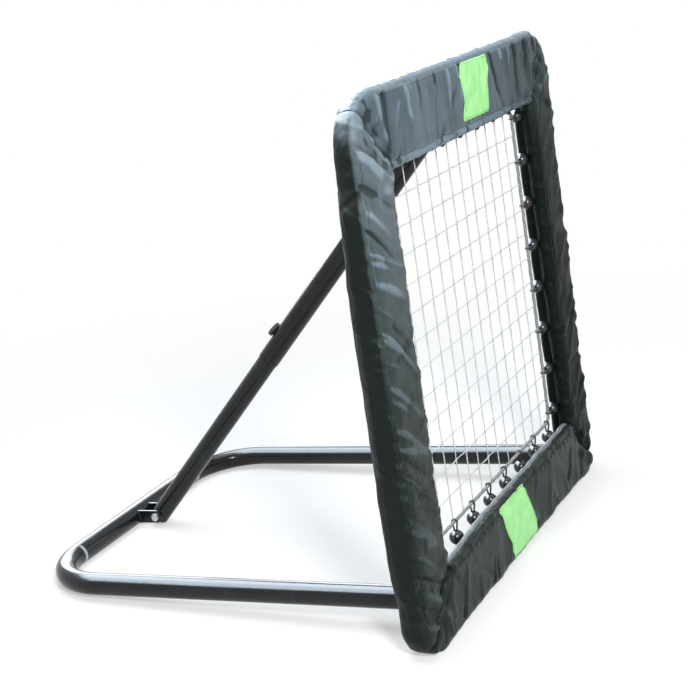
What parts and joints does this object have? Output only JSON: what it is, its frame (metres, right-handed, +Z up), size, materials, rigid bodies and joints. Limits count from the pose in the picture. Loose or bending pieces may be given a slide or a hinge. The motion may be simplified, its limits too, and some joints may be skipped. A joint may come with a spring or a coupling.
{
  "type": "pitch back rebounder",
  "caption": "Square padded net frame hinged on a U-shaped floor base and propped by a telescoping strut, so a thrown ball bounces back.",
  "frame": {"origin": "on the floor under the middle of the object's box", "axes": "+X to the right seen from the front, +Y back towards the rear crossbar, +Z up"},
  "size_m": [0.84, 0.7936, 0.8383],
  "materials": {
    "black_powder_coat": "glossy",
    "zinc_steel": "satin",
    "nylon": "matte",
    "knob_plastic": "matte",
    "ball_plastic": "glossy",
    "pad_cover": "coated, semi-gloss",
    "patch_cloth": "matte",
    "net_cord": "matte",
    "border_rope": "matte",
    "elastic_cord": "matte"
  },
  "bodies": {
    "base": {"side_tube_left": "black_powder_coat", "side_tube_right": "black_powder_coat", "rear_crossbar": "black_powder_coat", "crossbar_screws": "zinc_steel", "hinge_sleeve_left": "black_powder_coat", "hinge_sleeve_right": "black_powder_coat", "hinge_bush_left": "nylon", "hinge_bush_right": "nylon", "foot_bracket": "black_powder_coat", "foot_pivot_bolt": "zinc_steel", "foot_pivot_nut": "zinc_steel"},
    "net_frame": {"frame_tube_lower": "black_powder_coat", "frame_tube_upper": "black_powder_coat", "frame_joint_screws": "zinc_steel", "pad_top": "pad_cover", "pad_bottom": "pad_cover", "pad_left": "pad_cover", "pad_right": "pad_cover", "patch_top": "patch_cloth", "patch_bottom": "patch_cloth", "net": "net_cord", "net_border_rope": "border_rope", "bungee_loops": "elastic_cord", "toggle_balls": "ball_plastic", "top_bracket": "black_powder_coat", "top_pivot_bolt": "zinc_steel", "top_pivot_nut": "zinc_steel"},
    "strut_lower": {"strut_inner_tube": "black_powder_coat", "strut_foot_plug": "nylon"},
    "strut_upper": {"strut_outer_tube": "black_powder_coat", "strut_top_plug": "nylon", "lock_boss": "black_powder_coat"},
    "lock": {"lock_knob": "knob_plastic", "lock_stud": "zinc_steel"}
  },
  "joints": [
    {"name": "frame_tilt", "type": "hinge", "parent": "base", "child": "net_frame", "pos_m": [0, -0.37174, 0.0545], "axis": [-1, 0, 0], "range_deg": [0, 35]},
    {"name": "strut_lower_swing", "type": "hinge", "parent": "base", "child": "strut_lower", "pos_m": [0, 0.3227, 0.0216], "axis": [-1, 0, 0], "range_deg": [0, 17.5]},
    {"name": "strut_upper_swing", "type": "hinge", "parent": "net_frame", "child": "strut_upper", "pos_m": [0, -0.32757, 0.74832], "axis": [-1, 0, 0], "range_deg": [-17.5, 0]},
    {"name": "lock_knob_turn", "type": "hinge", "parent": "strut_upper", "child": "lock", "pos_m": [0, 0.02509, 0.38464], "axis": [0, 0.7452, 0.6668], "continuous": true}
  ],
  "couplings": [
    {"joint": "strut_lower_swing", "follows": "frame_tilt", "ratio": 0.5},
    {"joint": "strut_upper_swing", "follows": "frame_tilt", "ratio": -0.5}
  ]
}
